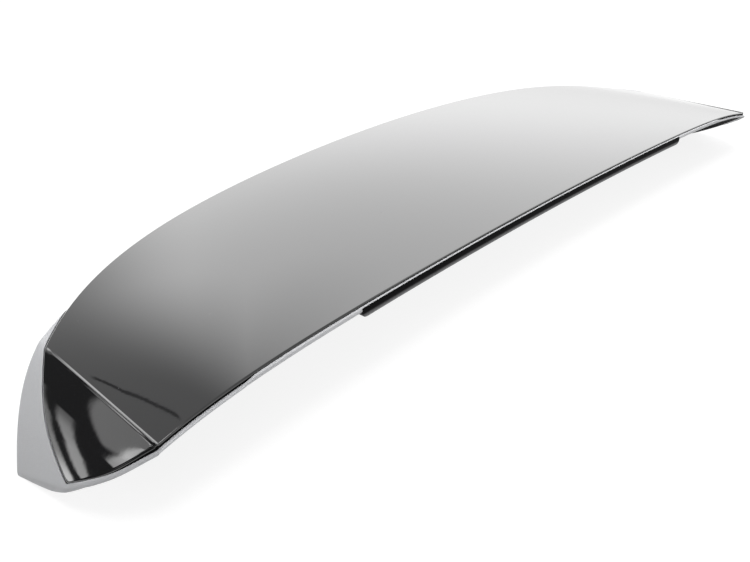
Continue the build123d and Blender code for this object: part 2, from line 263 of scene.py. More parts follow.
def edge_drop(distance, radius):
    """Drop of a rounded edge at a distance from it."""
    inside = np.clip(radius - distance, 0.0, radius)
    return radius - np.sqrt(radius**2 - inside**2)


def spline_through(points, steps=40):
    """Dense points of a natural cubic spline through a few places."""
    points = np.array(points, float)
    knots = np.concatenate(([0.0], np.cumsum(np.linalg.norm(np.diff(points, axis=0), axis=1))))
    count = len(points)
    gaps = np.diff(knots)
    matrix = np.eye(count)
    right = np.zeros_like(points)
    for i in range(1, count - 1):
        matrix[i, i - 1] = gaps[i - 1]
        matrix[i, i] = 2 * (gaps[i - 1] + gaps[i])
        matrix[i, i + 1] = gaps[i]
        slopes = (points[i + 1] - points[i]) / gaps[i] - (points[i] - points[i - 1]) / gaps[i - 1]
        right[i] = 6 * slopes
    bends = np.linalg.solve(matrix, right)
    dense = []
    for i in range(count - 1):
        a = np.linspace(0, 1, steps, endpoint=i == count - 2)[:, None]
        b = 1 - a
        curve = b * points[i] + a * points[i + 1]
        curve = curve + ((b**3 - b) * bends[i] + (a**3 - a) * bends[i + 1]) * gaps[i] ** 2 / 6
        dense.append(curve)
    return np.concatenate(dense)


def front_rim(sz, s, grow=0.0):
    """Points of the front rim at stations s, from -1 at the left crease to 1 at the right one."""
    x = (sz.crease_half_front + RIM_SIDE_GROWTH * grow) * s
    y = sz.front_bow * (1 - s**2) - grow
    z = sz.front_crown * (1 - s**CROWN_POWER)
    return np.stack(np.broadcast_arrays(x, y, z), axis=-1)


def trailing_edge(sz, s, grow=0.0):
    """Points of the trailing edge at stations s."""
    x = (sz.crease_half_rear + TRAILING_SIDE_GROWTH * grow) * s
    middle = sz.panel_depth + grow
    side = sz.crease_length + TRAILING_SIDE_GROWTH * grow
    bend = TRAILING_SQUARENESS * s**6 + (1 - TRAILING_SQUARENESS) * s**2
    y = middle - (middle - side) * bend
    z = sz.trailing_rise - (sz.trailing_rise - sz.crease_rise) * s**2
    return np.stack(np.broadcast_arrays(x, y, z), axis=-1)


def panel_point(sz, s, t):
    """Points of the panel, t from 0 at the front rim to 1 at the trailing edge."""
    s, t = np.broadcast_arrays(s, t)
    front = front_rim(sz, s)
    point = front + (trailing_edge(sz, s) - front) * t[..., None]
    point[..., 2] += 4 * sz.panel_swell * (1 - s**2) * t * (1 - t)
    return point


def station(sz, x, y):
    """Station s and share t of the panel at places seen from above."""
    t = np.full(np.shape(x), 0.5)
    for _ in range(STATION_ROUNDS):
        s = x / (sz.crease_half_front + (sz.crease_half_rear - sz.crease_half_front) * t)
        front = front_rim(sz, s)[..., 1]
        t = (y - front) / (trailing_edge(sz, s)[..., 1] - front)
    return s, t


def crease(sz, y):
    """Distance from the middle and height of the crease lines at y."""
    along = y / sz.crease_length
    x = sz.crease_half_front + (sz.crease_half_rear - sz.crease_half_front) * along
    return x, sz.crease_rise * along


def ear_drop(sz, out, depth=0.0):
    """Drop of an ear's arc at a distance out from its crease."""
    reach = sz.ear_radius * math.sin(sz.ear_start) + out
    radius = sz.ear_radius - depth
    return sz.ear_radius * math.cos(sz.ear_start) - np.sqrt(np.maximum(radius**2 - reach**2, 1e-9))


def outer_level(sz, x, y):
    """Height of the outer surface at places seen from above."""
    crease_x, crease_z = crease(sz, y)
    out = np.abs(x) - crease_x
    s, t = station(sz, np.minimum(np.abs(x), crease_x), y)
    inside = panel_point(sz, s, t)[..., 2]
    return np.where(out > 0, crease_z - ear_drop(sz, np.maximum(out, 0.0)), inside)


def ear_share(sz, y):
    """Wall of an ear as a share of the skin's wall, full in front and thinner beside the seam."""
    return 1 - (1 - sz.ear_wall) * smooth_step(y, sz.nose_reach, 2 * sz.nose_reach)


def inner_level(sz, x, y):
    """Height of the skin's inner surface at places seen from above."""
    crease_x, crease_z = crease(sz, y)
    out = np.abs(x) - crease_x
    panel = outer_level(sz, x, y) - sz.skin_wall
    ear = crease_z - ear_drop(sz, np.maximum(out, 0.0), ear_share(sz, y) * sz.skin_wall)
    change = smooth_step(out, *EAR_WALL_CHANGE)
    return np.where(out > 0, np.minimum(panel, ear) * (1 - change) + ear * change, panel)


def floor_level(sz, s, t, start):
    """Height of the shell's underside at stations s and shares t."""
    rim = front_rim(sz, s)
    lip = rim[..., 2] - sz.lip_depth
    rear = trailing_edge(sz, s)[..., 2] - sz.rear_wall_height
    middle = lip + (rear - lip) * t
    back = panel_point(sz, s, t)[..., 1] - rim[..., 1]
    left = np.maximum(0.0, 1 - np.maximum(0.0, back) / start)
    foot = lip - (sz.stand_height + sz.foot_trim + lip) * (1 - left**sz.foot_roundness)
    return middle + (foot - middle) * smooth_step(np.abs(s), sz.foot_inner, sz.foot_outer)


def underside(sz, x, y):
    """Height of the shell's underside at places seen from above, with the leaning rear wall."""
    crease_x, _ = crease(sz, y)
    out = np.maximum(np.abs(x) - crease_x, 0.0)
    s, t = station(sz, np.minimum(np.abs(x), crease_x), y)
    level = floor_level(sz, s, t, sz.foot_start)
    outside = floor_level(sz, s, t, sz.foot_start_outside)
    level = level + (outside - level) * out / OUTER_FOOT_SPAN
    reach = np.clip(np.abs(s) / (sz.cheek_join - WALL_END), 0.0, 1.0)
    span = np.maximum((sz.rear_wall_lean + WALL_MARGIN) * (1 - reach**4), 1e-4)
    edge = trailing_edge(sz, s)
    depth = np.linalg.norm((edge - front_rim(sz, s))[..., :2], axis=-1)
    ahead = (1 - t) * depth + WALL_MARGIN
    high = edge[..., 2] - sz.rear_edge_height
    low = floor_level(sz, s, np.ones_like(t), sz.foot_start) - WALL_SINK
    lean = np.maximum(high + (low - high) * ahead / span, -1.0)
    level = smooth_max(level, lean, WALL_BLEND)
    return np.maximum(level, -sz.stand_height)


# Outlines seen from above

def nose_places(sz, grow):
    """Places of the right ear's front outline, from the crease front to the ear's tip."""
    half = sz.crease_half_front
    return [
        front_rim(sz, 1.0, grow)[:2],
        (half + 0.020 + 0.65 * grow, 0.014 - 0.75 * grow),
        (half + 0.031 + 0.85 * grow, 0.0284 - 0.5 * grow),
        (half + 0.0407 + grow, 0.051),
    ]


def ear_outline(sz, grow):
    """Dense outline of the right ear, from the crease front round the tip to the crease rear."""
    nose = nose_places(sz, grow)
    front = spline_through(nose)
    rear = spline_through([
        nose[-1],
        (sz.crease_half_front + 0.0255 + 0.93 * grow, 0.101 + 0.35 * grow),
        trailing_edge(sz, 1.0, grow)[:2],
    ])
    return np.concatenate((front, rear[1:]))


def seam_outline(sz, y):
    """Distance from the middle of the seam beside the ears and trailing edge, at y."""
    lines = []
    for gap in (sz.nose_gap * sz.seam_gap, sz.seam_gap):
        rear = trailing_edge(sz, np.linspace(1.0, 0.8, 60), gap)[1:, :2]
        line = np.concatenate((ear_outline(sz, gap), rear))
        lines.append(np.interp(y, line[:, 1], line[:, 0]))
    return lines[0] + (lines[1] - lines[0]) * smooth_step(y, *TIP_GAP_CHANGE)


def shell_outline(sz, y):
    """Distance from the middle of the shell's side, at y."""
    half = sz.crease_half_front
    nose = spline_through(nose_places(sz, sz.lip_overhang))
    cheek = spline_through([
        (half + 0.051, 0.108),
        (half + 0.0377, 0.125),
        (half + 0.0168, 0.1468),
        (half - 0.0081, 0.1647),
        trailing_edge(sz, sz.cheek_join, -sz.rear_overhang)[:2],
    ])
    line = np.concatenate((nose, cheek))
    return np.interp(y, line[:, 1], line[:, 0])


# Mesh helpers

def home(sz, points):
    """Points moved from the crease fronts to the part's own frame."""
    back = (sz.panel_depth - sz.lip_overhang) / 2
    return points + np.array((0.0, -back, sz.stand_height))


def shaped_slab(sz, name, upper, lower, angle, painted=None):
    """Closed piece between two layers of points, from a grid that is extruded and then shaped.

    Faces of the upper layer take the first finish and those between the layers the second. Faces of the
    lower layer take the third, apart from places that are marked as painted."""
    rows, columns = upper.shape[:2]
    bpy.ops.object.select_all(action="DESELECT")
    bpy.ops.mesh.primitive_grid_add(x_subdivisions=columns - 1, y_subdivisions=rows - 1, size=2)
    piece = bpy.context.object
    bpy.ops.object.mode_set(mode="EDIT")
    bpy.ops.mesh.select_all(action="SELECT")
    bpy.ops.mesh.extrude_region_move(TRANSFORM_OT_translate={"value": (0, 0, 1)})
    bpy.ops.object.mode_set(mode="OBJECT")
    flat = np.zeros(len(piece.data.vertices) * 3)
    piece.data.vertices.foreach_get("co", flat)
    flat = flat.reshape(-1, 3)
    column = np.rint((flat[:, 0] + 1) / 2 * (columns - 1)).astype(int)
    row = np.rint((flat[:, 1] + 1) / 2 * (rows - 1)).astype(int)
    raised = flat[:, 2] > 0.5
    shaped = np.where(raised[:, None], upper[row, column], lower[row, column])
    piece.data.vertices.foreach_set("co", home(sz, shaped).ravel())
    for face in piece.data.polygons:
        corners = list(face.vertices)
        if not raised[corners].any():
            bare = painted is None or not painted[row[corners], column[corners]].all()
            face.material_index = 2 if bare else 0
        elif not raised[corners].all():
            face.material_index = 1
    bpy.ops.object.mode_set(mode="EDIT")
    bpy.ops.mesh.select_all(action="SELECT")
    bpy.ops.mesh.remove_doubles(threshold=MERGE_DISTANCE)
    bpy.ops.mesh.normals_make_consistent(inside=False)
    bpy.ops.object.mode_set(mode="OBJECT")
    bpy.ops.object.shade_smooth_by_angle(angle=math.radians(angle))
    piece.name = name
    piece.data.name = name
    return piece


def with_middle(first, last, count):
    """Columns beside two edges, with evenly spaced columns between them."""
    between = np.linspace(0.0, 1.0, count)[1:-1]
    middle = first[:, -1:] + (last[:, :1] - first[:, -1:]) * between[None, :]
    return np.concatenate((first, middle, last), axis=1)


def mirrored(right):
    """Columns of the right half, with the left half put in front of them."""
    left = right[:, :0:-1].copy()
    left[..., 0] *= -1
    return np.concatenate((left, right), axis=1)


def dress(piece, materials, node):
    """Give a piece its finishes, and let it stand for a CAD node."""
    for material in materials:
        piece.data.materials.append(material)
    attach(piece, "root")
    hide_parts(node)


# Finishes

class Finish:
    """Node tree of a material, with short ways to add its nodes"""

    def __init__(self, name):
        self.material = bpy.data.materials.new(name)
        self.material.use_nodes = True
        self.tree = self.material.node_tree
        self.shader = self.tree.nodes["Principled BSDF"]
        self.place = self.add("ShaderNodeTexCoord").outputs["Object"]

    def add(self, kind, **settings):
        node = self.tree.nodes.new(kind)
        for name, value in settings.items():
            setattr(node, name, value)
        return node

    def join(self, output, entry):
        self.tree.links.new(output, entry)

    def noise(self, scale, detail=2.0, roughness=0.5):
        node = self.add("ShaderNodeTexNoise")
        node.inputs["Scale"].default_value = scale
        node.inputs["Detail"].default_value = detail
        node.inputs["Roughness"].default_value = roughness
        self.join(self.place, node.inputs["Vector"])
        return node.outputs["Fac"]

    def spread(self, value, low, high, start, end):
        node = self.add("ShaderNodeMapRange", clamp=True)
        node.inputs["From Min"].default_value = low
        node.inputs["From Max"].default_value = high
        node.inputs["To Min"].default_value = start
        node.inputs["To Max"].default_value = end
        self.join(value, node.inputs["Value"])
        return node.outputs["Result"]

    def mix(self, share_value, first, second):
        node = self.add("ShaderNodeMix", data_type="RGBA")
        node.inputs["A"].default_value = (*first, 1.0)
        node.inputs["B"].default_value = (*second, 1.0)
        self.join(share_value, node.inputs["Factor"])
        return node.outputs["Result"]

    def bump(self, height, strength, distance):
        node = self.add("ShaderNodeBump")
        node.inputs["Strength"].default_value = strength
        node.inputs["Distance"].default_value = distance
        self.join(height, node.inputs["Height"])
        self.join(node.outputs["Normal"], self.shader.inputs["Normal"])

    def set(self, **values):
        for name, value in values.items():
            self.shader.inputs[name.replace("_", " ")].default_value = value


def gloss_paint(colours):
    """Deep black gloss paint with a faint orange peel and a few dust specks."""
    finish = Finish("gloss_black_paint")
    finish.set(IOR=1.5, Coat_Weight=1.0, Coat_Roughness=0.02, Coat_IOR=1.5)
    cells = finish.add("ShaderNodeTexVoronoi")
    cells.inputs["Scale"].default_value = 130.0
    finish.join(finish.place, cells.inputs["Vector"])
    near = finish.spread(cells.outputs["Distance"], 0.02, 0.05, 1.0, 0.0)
    chosen = finish.add("ShaderNodeSeparateColor")
    finish.join(cells.outputs["Color"], chosen.inputs["Color"])
    rare = finish.spread(chosen.outputs["Red"], 0.86, 0.90, 0.0, 1.0)
    speck = finish.add("ShaderNodeMath", operation="MULTIPLY")
    finish.join(near, speck.inputs[0])
    finish.join(rare, speck.inputs[1])
    paint = finish.mix(speck.outputs["Value"], colours.skin, colours.dust)
    finish.join(paint, finish.shader.inputs["Base Color"])
    finish.join(finish.spread(finish.noise(9.0), 0.3, 0.7, 0.02, 0.035), finish.shader.inputs["Roughness"])
    finish.bump(finish.noise(260.0, 1.0), 0.012, 0.0004)
    return finish.material


def raw_plastic_and_shade(colours):
    """Bare black moulded plastic with a fine grain, as on cut edges and undersides; on the shell's
    underside its black is partly painted shade, standing in for the shadow under the feet.
    """
    finish = Finish("raw_black_plastic_and_shade")
    finish.set(IOR=1.4, Specular_IOR_Level=0.04)
    grain = finish.noise(900.0, 3.0)
    pale = tuple(1.8 * part for part in colours.raw_and_shade)
    finish.join(finish.mix(grain, colours.raw_and_shade, pale), finish.shader.inputs["Base Color"])
    finish.join(finish.spread(grain, 0.3, 0.7, 0.6, 0.8), finish.shader.inputs["Roughness"])
    finish.bump(grain, 0.1, 0.0002)
    return finish.material


def satin_paint(colours):
    """Satin silver-grey paint with fine flakes over a moulded surface."""
    finish = Finish("satin_silver_paint")
    finish.set(IOR=1.45)
    flakes = finish.spread(finish.noise(2400.0, 3.0, 0.7), 0.35, 0.65, 0.0, 1.0)
    finish.join(finish.mix(flakes, colours.shell_dark, colours.shell), finish.shader.inputs["Base Color"])
    cloudy = finish.spread(finish.noise(34.0, 4.0), 0.3, 0.7, 0.34, 0.44)
    finish.join(cloudy, finish.shader.inputs["Roughness"])
    finish.bump(finish.noise(1500.0, 2.0), 0.05, 0.0002)
    return finish.material


def seal_rubber(sz, colours):
    """Black rubber, its foot made paler towards the bottom as a painted reflection of the white floor."""
    finish = Finish("seal_rubber")
    finish.set(IOR=1.45, Specular_IOR_Level=0.04)
    split = finish.add("ShaderNodeSeparateXYZ")
    finish.join(finish.place, split.inputs["Vector"])
    rim = sz.front_crown + sz.stand_height
    # Painted reflection: the seal's lower part is mixed towards pale grey by height, standing in for light
    # from the floor.
    foot = finish.spread(split.outputs["Z"], rim - 0.0104, rim - 0.0062, 1.0, 0.0)
    finish.join(finish.mix(foot, colours.rubber, colours.rubber_foot_painted_light), finish.shader.inputs["Base Color"])
    dull = finish.spread(finish.noise(600.0, 3.0), 0.3, 0.7, 0.55, 0.75)
    finish.join(dull, finish.shader.inputs["Roughness"])
    finish.bump(finish.noise(1800.0, 2.0), 0.15, 0.0002)
    return finish.material


def plated_steel(colours):
    """Zinc-plated steel with a fine uneven sheen."""
    finish = Finish("plated_steel")
    finish.set(Metallic=1.0)
    dull = tuple(0.7 * part for part in colours.steel)
    plating = finish.mix(finish.noise(500.0, 4.0), dull, colours.steel)
    finish.join(plating, finish.shader.inputs["Base Color"])
    drawn = finish.spread(finish.noise(900.0, 3.0), 0.3, 0.7, 0.25, 0.45)
    finish.join(drawn, finish.shader.inputs["Roughness"])
    return finish.material


def gasket_foam(colours):
    """Dark closed-cell foam."""
    finish = Finish("gasket_foam")
    cells = finish.add("ShaderNodeTexVoronoi")
    cells.inputs["Scale"].default_value = 1400.0
    finish.join(finish.place, cells.inputs["Vector"])
    pale = tuple(2.2 * part for part in colours.foam)
    foam = finish.mix(cells.outputs["Distance"], colours.foam, pale)
    finish.join(foam, finish.shader.inputs["Base Color"])
    finish.set(Roughness=0.9)
    finish.bump(cells.outputs["Distance"], 0.4, 0.0004)
    return finish.material


# Pieces

def ear_columns(sz, y):
    """Columns of an ear as distances from its crease and from its edge, and each row's edge rounding."""
    outline = ear_outline(sz, 0.0)
    width = np.maximum(np.interp(y, outline[:, 1], outline[:, 0]) - crease(sz, y)[0], 0.0)
    slope = np.gradient(outline[:, 0]) / np.gradient(outline[:, 1])
    square = 1 / np.sqrt(1 + np.interp(y, outline[:, 1], slope) ** 2)
    radius = sz.rim_round
    rounding = sz.seam_round + (radius - sz.seam_round) * (1 - smooth_step(y, *EAR_ROUND_CHANGE))
    room = np.minimum(1.0, width * square / (4 * rounding)) / square
    curl = EDGE_CURL[::-1] * radius
    first = EAR_FINE[None, :] * np.minimum(1.0, width / NARROW_EAR)[:, None]
    last = width[:, None] - curl[None, :] * (room * rounding / radius)[:, None]
    out = with_middle(first, last, EAR_COLUMNS)
    return out, (width[:, None] - out) * square[:, None], rounding


def creased_level(sz, points):
    """Heights of the outer skin, with its rounded creases and the fine bead along each."""
    crease_x, crease_z = crease(sz, points[..., 1])
    along = points[..., 1] / sz.crease_length
    fall = CROWN_POWER * sz.front_crown / sz.crease_half_front * (1 - along)
    fall = fall + 2 * (sz.trailing_rise - sz.crease_rise) / sz.crease_half_rear * along
    out = np.abs(points[..., 0]) - crease_x
    level = np.where(out > 0, crease_z - fall * out, points[..., 2])
    ear = crease_z - ear_drop(sz, np.maximum(out, -CREASE_INSIDE))
    ridge = smooth_min(level, ear, sz.crease_blend)
    fade = np.clip(1 - along / sz.bead_fade, 0.0, 1.0) ** BEAD_FADE_POWER
    across = np.clip(out / sz.bead_half_width, -1.0, 1.0)
    bead = sz.bead_height * fade * np.cos(across * math.pi / 2) ** 2
    return np.where(np.abs(out) < CREASE_REACH, ridge, points[..., 2]) + bead


def skin_layers(sz):
    """Outer and inner points of the upper skin, row by row from the front rim to the trailing edge."""
    near = EDGE_CURL * sz.rim_round / EDGE_DEPTH
    t = np.concatenate((near[:-1], np.linspace(near[-1], 1 - near[-1], PANEL_ROWS), 1 - near[-2::-1]))
    half = sz.crease_half_front
    beside = np.concatenate((CREASE_COARSE, CREASE_FINE))
    s = np.concatenate((np.linspace(0.0, 1 - CREASE_START / half, PANEL_COLUMNS), 1 - beside / half))
    grid_s, grid_t = np.meshgrid(s, t)
    panel = panel_point(sz, grid_s, grid_t)
    depth = np.linalg.norm((trailing_edge(sz, s) - front_rim(sz, s))[:, :2], axis=-1)
    panel_edge = np.minimum(grid_t, 1 - grid_t) * depth
    y = sz.crease_length * t
    crease_x, crease_z = crease(sz, y)
    out, ear_edge, ear_round = ear_columns(sz, y)
    ear = np.stack(np.broadcast_arrays(
        crease_x[:, None] + out, y[:, None], crease_z[:, None] - ear_drop(sz, out)
    ), axis=-1)
    points = np.concatenate((panel, ear), axis=1)
    to_edge = np.concatenate((panel_edge, ear_edge), axis=1)
    panel_round = np.full(panel.shape[:2], sz.rim_round)
    rounding = np.concatenate((panel_round, np.broadcast_to(ear_round[:, None], out.shape)), axis=1)
    inner = points.copy()
    inner[..., 2] = inner_level(sz, points[..., 0], points[..., 1])
    outer = points.copy()
    outer[..., 2] = creased_level(sz, points) - edge_drop(to_edge, rounding)
    return mirrored(outer), mirrored(inner)


class SPOILER_OT_upper_skin(bpy.types.Operator):
    """Model the glossy upper skin with its beaded creases and turned-down ears"""

    bl_idname = "spoiler.upper_skin"
    bl_label = "Upper skin"

    def execute(self, context):
        sz = context.scene.spoiler_sizes
        outer, inner = skin_layers(sz)
        skin = shaped_slab(sz, "spoiler_skin", outer, inner, 40)
        raw_and_shade = raw_plastic_and_shade(context.scene.spoiler_colours)
        dress(skin, (gloss_paint(context.scene.spoiler_colours), raw_and_shade, raw_and_shade), "upper_skin")
        return {"FINISHED"}


def shell_rows(front_y, rear_y, ahead):
    """Places along the car of the shell's rows, fine at the lip and the rear wall and even between them."""
    start = front_y + ahead[-1]
    end = rear_y - BROW_CURL[0]
    between = np.linspace(0.0, 1.0, SHELL_ROWS)[1:-1]
    inside = start + (end - start) * between[:, None]
    return np.concatenate((front_y + ahead[:, None], inside, rear_y - BROW_CURL[:, None]))


def cheek_columns(sz, side_y):
    """Place of the seam, and a cheek's columns as distances out from the seam and from the side."""
    shell_x = shell_outline(sz, side_y)
    seam_x = np.minimum(seam_outline(sz, side_y), shell_x)
    band = shell_x - seam_x
    small = np.minimum(1.0, band / NARROW_CHEEK)
    first = SEAM_CURL[None, :] * small[:, None]
    last = band[:, None] - BROW_CURL[None, :] * small[:, None]
    out = with_middle(first, last, CHEEK_COLUMNS)
    slope = np.gradient(shell_x, side_y + np.arange(len(side_y)) * 1e-9)
    square = 1 / np.sqrt(1 + slope**2)
    return seam_x, out, (band[:, None] - out) * square[:, None]


def shell_layers(sz):
    """Upper and lower points of the lower shell, row by row from the lip to the rear wall."""
    lip = sz.lip_overhang - sz.lip_rise_gap
    ahead = np.array((*LIP_CURL, lip, lip + LIP_STEP))
    u = np.concatenate((np.linspace(0.0, 0.8, 45), np.linspace(0.8, 1.0, 32)[1:]))
    front_y = front_rim(sz, u, sz.lip_overhang)[:, 1]
    rear_y = trailing_edge(sz, sz.cheek_join * u, -sz.rear_overhang)[:, 1]
    y = shell_rows(front_y[None, :], rear_y[None, :], ahead)
    side_y = y[:, -1]
    seam_x, out, to_side = cheek_columns(sz, side_y)
    x = u[None, :] * seam_x[:, None]
    under = inner_level(sz, x, y) - sz.bond_gap
    rise = 1 - smooth_step(x, sz.lip_rise_reach + LIP_RISE_END[0], sz.lip_rise_reach + LIP_RISE_END[1])
    raised = under + (outer_level(sz, x, y) - sz.lip_rise_depth - under) * rise
    in_lip = (np.arange(len(y)) < len(ahead) - 1)[:, None]
    top = np.where(in_lip, raised, under) - edge_drop(y - front_y[None, :], LIP_ROUND)
    cheek_x = seam_x[:, None] + out
    cheek_y = np.broadcast_to(side_y[:, None], cheek_x.shape)
    sunk = (sz.skin_wall + sz.bond_gap) * np.clip(1 - cheek_y / sz.nose_reach, 0.0, 1.0)
    cheek_top = outer_level(sz, cheek_x, cheek_y) - sunk
    cheek_top = cheek_top - edge_drop(out, SEAM_EDGE_ROUND) - edge_drop(to_side, SHELL_ROUND)
    to_side = np.concatenate((np.full(x.shape, 1.0), to_side), axis=1)
    x = np.concatenate((x, cheek_x), axis=1)
    y = np.concatenate((y, cheek_y), axis=1)
    top = np.concatenate((top, cheek_top), axis=1)
    front_side = np.concatenate((front_y, np.full(cheek_x.shape[1], front_y[-1])))
    rear_side = np.concatenate((rear_y, np.full(cheek_x.shape[1], rear_y[-1])))
    to_edge = np.minimum(np.minimum(y - front_side[None, :], rear_side[None, :] - y), to_side)
    bottom = underside(sz, x, y) + edge_drop(to_edge, SHELL_ROUND)
    top = np.maximum(top, LEAST_WALL - sz.stand_height)
    bottom = np.maximum(np.minimum(bottom, top - LEAST_WALL), -sz.stand_height)
    upper = np.stack((x, y, top), axis=-1)
    lower = np.stack((x, y, bottom), axis=-1)
    # Satin paint only on the cheeks' undersides and a band along the edges; the underside inboard of the
    # creases stays bare black, which also stands in as painted shade on the feet's inner flanks.
    outside = (x > sz.crease_half_front + PAINTED_START) & (y < PAINTED_REAR)
    painted = (outside | (to_edge < PAINTED_EDGE))[..., None].astype(float)
    return mirrored(upper), mirrored(lower), mirrored(painted)[..., 0] != 0


class SPOILER_OT_lower_shell(bpy.types.Operator):
    """Model the satin lower shell with its lip, cheeks, feet and leaning rear wall"""

    bl_idname = "spoiler.lower_shell"
    bl_label = "Lower shell"

    def execute(self, context):
        sz = context.scene.spoiler_sizes
        upper, lower, painted = shell_layers(sz)
        shell = shaped_slab(sz, "spoiler_shell", upper, lower, 40, painted)
        satin = satin_paint(context.scene.spoiler_colours)
        dress(shell, (satin, satin, raw_plastic_and_shade(context.scene.spoiler_colours)), "lower_shell")
        return {"FINISHED"}


def seal_layers(sz):
    """Front and back points of the rubber seal, row by row from its top to its foot."""
    front = -sz.seal_front
    face = -sz.lip_overhang
    below = sz.lip_depth + SEAL_CLEARANCE
    outer = [(face, sz.seal_top), (front + 0.0006, sz.seal_top), (front + 0.0002, sz.seal_top + 0.0002)]
    outer += [(front, sz.seal_top + 0.0007)]
    outer += [(front, depth) for depth in np.linspace(0.005, sz.seal_bottom - 0.0016, 4)]
    outer += [(front + 0.0003, sz.seal_bottom - 0.0006), (front + 0.001, sz.seal_bottom)]
    outer += [(sz.seal_back, sz.seal_bottom)]
    inner = [(face, depth) for depth in np.linspace(sz.seal_top, below, 4)]
    inner += [(back, below) for back in np.linspace(face, sz.seal_back, 5)[1:]]
    inner += [(sz.seal_back, depth) for depth in np.linspace(below, sz.seal_bottom, 4)[1:]]
    x = sz.seal_half_length * np.sin(np.linspace(-math.pi / 2, math.pi / 2, SEAL_COLUMNS))
    rim = front_rim(sz, x / sz.crease_half_front)
    left = np.clip((sz.seal_half_length - np.abs(x)) / sz.seal_end_round, 0.0, 1.0)
    lift = (sz.seal_bottom - below - SEAL_LEAST_FOOT) * (1 - np.sqrt(1 - (1 - left) ** 2))

    def chain(profile):
        rows = []
        for back, depth in profile:
            place = rim.copy()
            place[:, 1] += back
            low = np.clip((depth - below) / (sz.seal_bottom - below), 0.0, 1.0)
            place[:, 2] += low * lift - depth
            rows.append(place)
        return np.array(rows)

    return chain(outer), chain(inner)


class SPOILER_OT_edge_seal(bpy.types.Operator):
    """Model the rubber seal along the middle of the lip"""

    bl_idname = "spoiler.edge_seal"
    bl_label = "Edge seal"

    def execute(self, context):
        sz = context.scene.spoiler_sizes
        outer, inner = seal_layers(sz)
        seal = shaped_slab(sz, "spoiler_seal", outer, inner, 50)
        rubber = seal_rubber(sz, context.scene.spoiler_colours)
        dress(seal, (rubber, rubber, rubber), "leading_edge_seal")
        return {"FINISHED"}


class SPOILER_OT_fasteners(bpy.types.Operator):
    """Finish the studs, gaskets and screws of the frame"""

    bl_idname = "spoiler.fasteners"
    bl_label = "Fasteners"

    def execute(self, context):
        colours = context.scene.spoiler_colours
        steel = plated_steel(colours)
        foam = gasket_foam(colours)
        finishes = {"mounting_studs": steel, "assembly_screws": steel, "stud_gaskets": foam}
        for node, material in finishes.items():
            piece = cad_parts[node]
            piece.data.materials.clear()
            piece.data.materials.append(material)
        return {"FINISHED"}


# Stage

class Surround:
    """Node tree of the studio surround, with short ways to add its nodes"""

    def __init__(self, tree):
        self.tree = tree
        place = tree.nodes.new("ShaderNodeTexCoord").outputs["Generated"]
        split = tree.nodes.new("ShaderNodeSeparateXYZ")
        tree.links.new(place, split.inputs["Vector"])
        self.azimuth = self.math("ARCTAN2", split.outputs["X"], split.outputs["Y"])
        self.height = self.math("ARCSINE", split.outputs["Z"])

    def enter(self, value, entry):
        if isinstance(value, (int, float)):
            entry.default_value = value
        else:
            self.tree.links.new(value, entry)

    def math(self, operation, first, second=0.0):
        node = self.tree.nodes.new("ShaderNodeMath")
        node.operation = operation
        self.enter(first, node.inputs[0])
        self.enter(second, node.inputs[1])
        return node.outputs["Value"]

    def ramp(self, value, low, high, start, end):
        """Smooth change of level between two angles in degrees."""
        node = self.tree.nodes.new("ShaderNodeMapRange")
        node.interpolation_type = "SMOOTHSTEP"
        node.inputs["From Min"].default_value = math.radians(low)
        node.inputs["From Max"].default_value = math.radians(high)
        node.inputs["To Min"].default_value = start
        node.inputs["To Max"].default_value = end
        self.tree.links.new(value, node.inputs["Value"])
        return node.outputs["Result"]

    def span(self, value, low, high, soft):
        """Mask that is full between two angles in degrees."""
        rise = self.ramp(value, low - soft, low + soft, 0.0, 1.0)
        fall = self.ramp(value, high - soft, high + soft, 1.0, 0.0)
        return self.math("MULTIPLY", rise, fall)

    def blend(self, base, level, mask):
        gap = self.math("SUBTRACT", level, base)
        return self.math("ADD", base, self.math("MULTIPLY", gap, mask))

    def zone(self, base, level, azimuths, heights, soft):
        """Base with a level of its own between two azimuths and two heights."""
        across = self.span(self.azimuth, *azimuths, soft)
        upward = self.span(self.height, *heights, soft)
        return self.blend(base, level, self.math("MULTIPLY", across, upward))

    def strip(self, start, end, width, start_level, end_level):
        """Soft strip between two directions, each an azimuth and a height in degrees."""
        (a0, h0), (a1, h1) = start, end
        reach = math.hypot(a1 - a0, h1 - h0)
        along = ((a1 - a0) / reach, (h1 - h0) / reach)
        off_a = self.math("SUBTRACT", self.azimuth, math.radians(a0))
        off_h = self.math("SUBTRACT", self.height, math.radians(h0))
        down_a = self.math("MULTIPLY", off_a, along[0])
        down = self.math("ADD", down_a, self.math("MULTIPLY", off_h, along[1]))
        side_a = self.math("MULTIPLY", off_a, along[1])
        side = self.math("SUBTRACT", side_a, self.math("MULTIPLY", off_h, along[0]))
        near = self.ramp(self.math("ABSOLUTE", side), STRIP_CORE * width, width, 1.0, 0.0)
        inside = self.span(down, 0.0, reach, STRIP_END_SOFT)
        level = self.ramp(down, 0.0, reach, start_level, end_level)
        return self.math("MULTIPLY", self.math("MULTIPLY", near, inside), level)


def strip_chain(width, *stops):
    """Strips that join stops, each an azimuth, a height and a level."""
    strips = []
    for (a0, h0, level0), (a1, h1, level1) in zip(stops, stops[1:]):
        strips.append(((a0, h0), (a1, h1), width, level0, level1))
    return strips


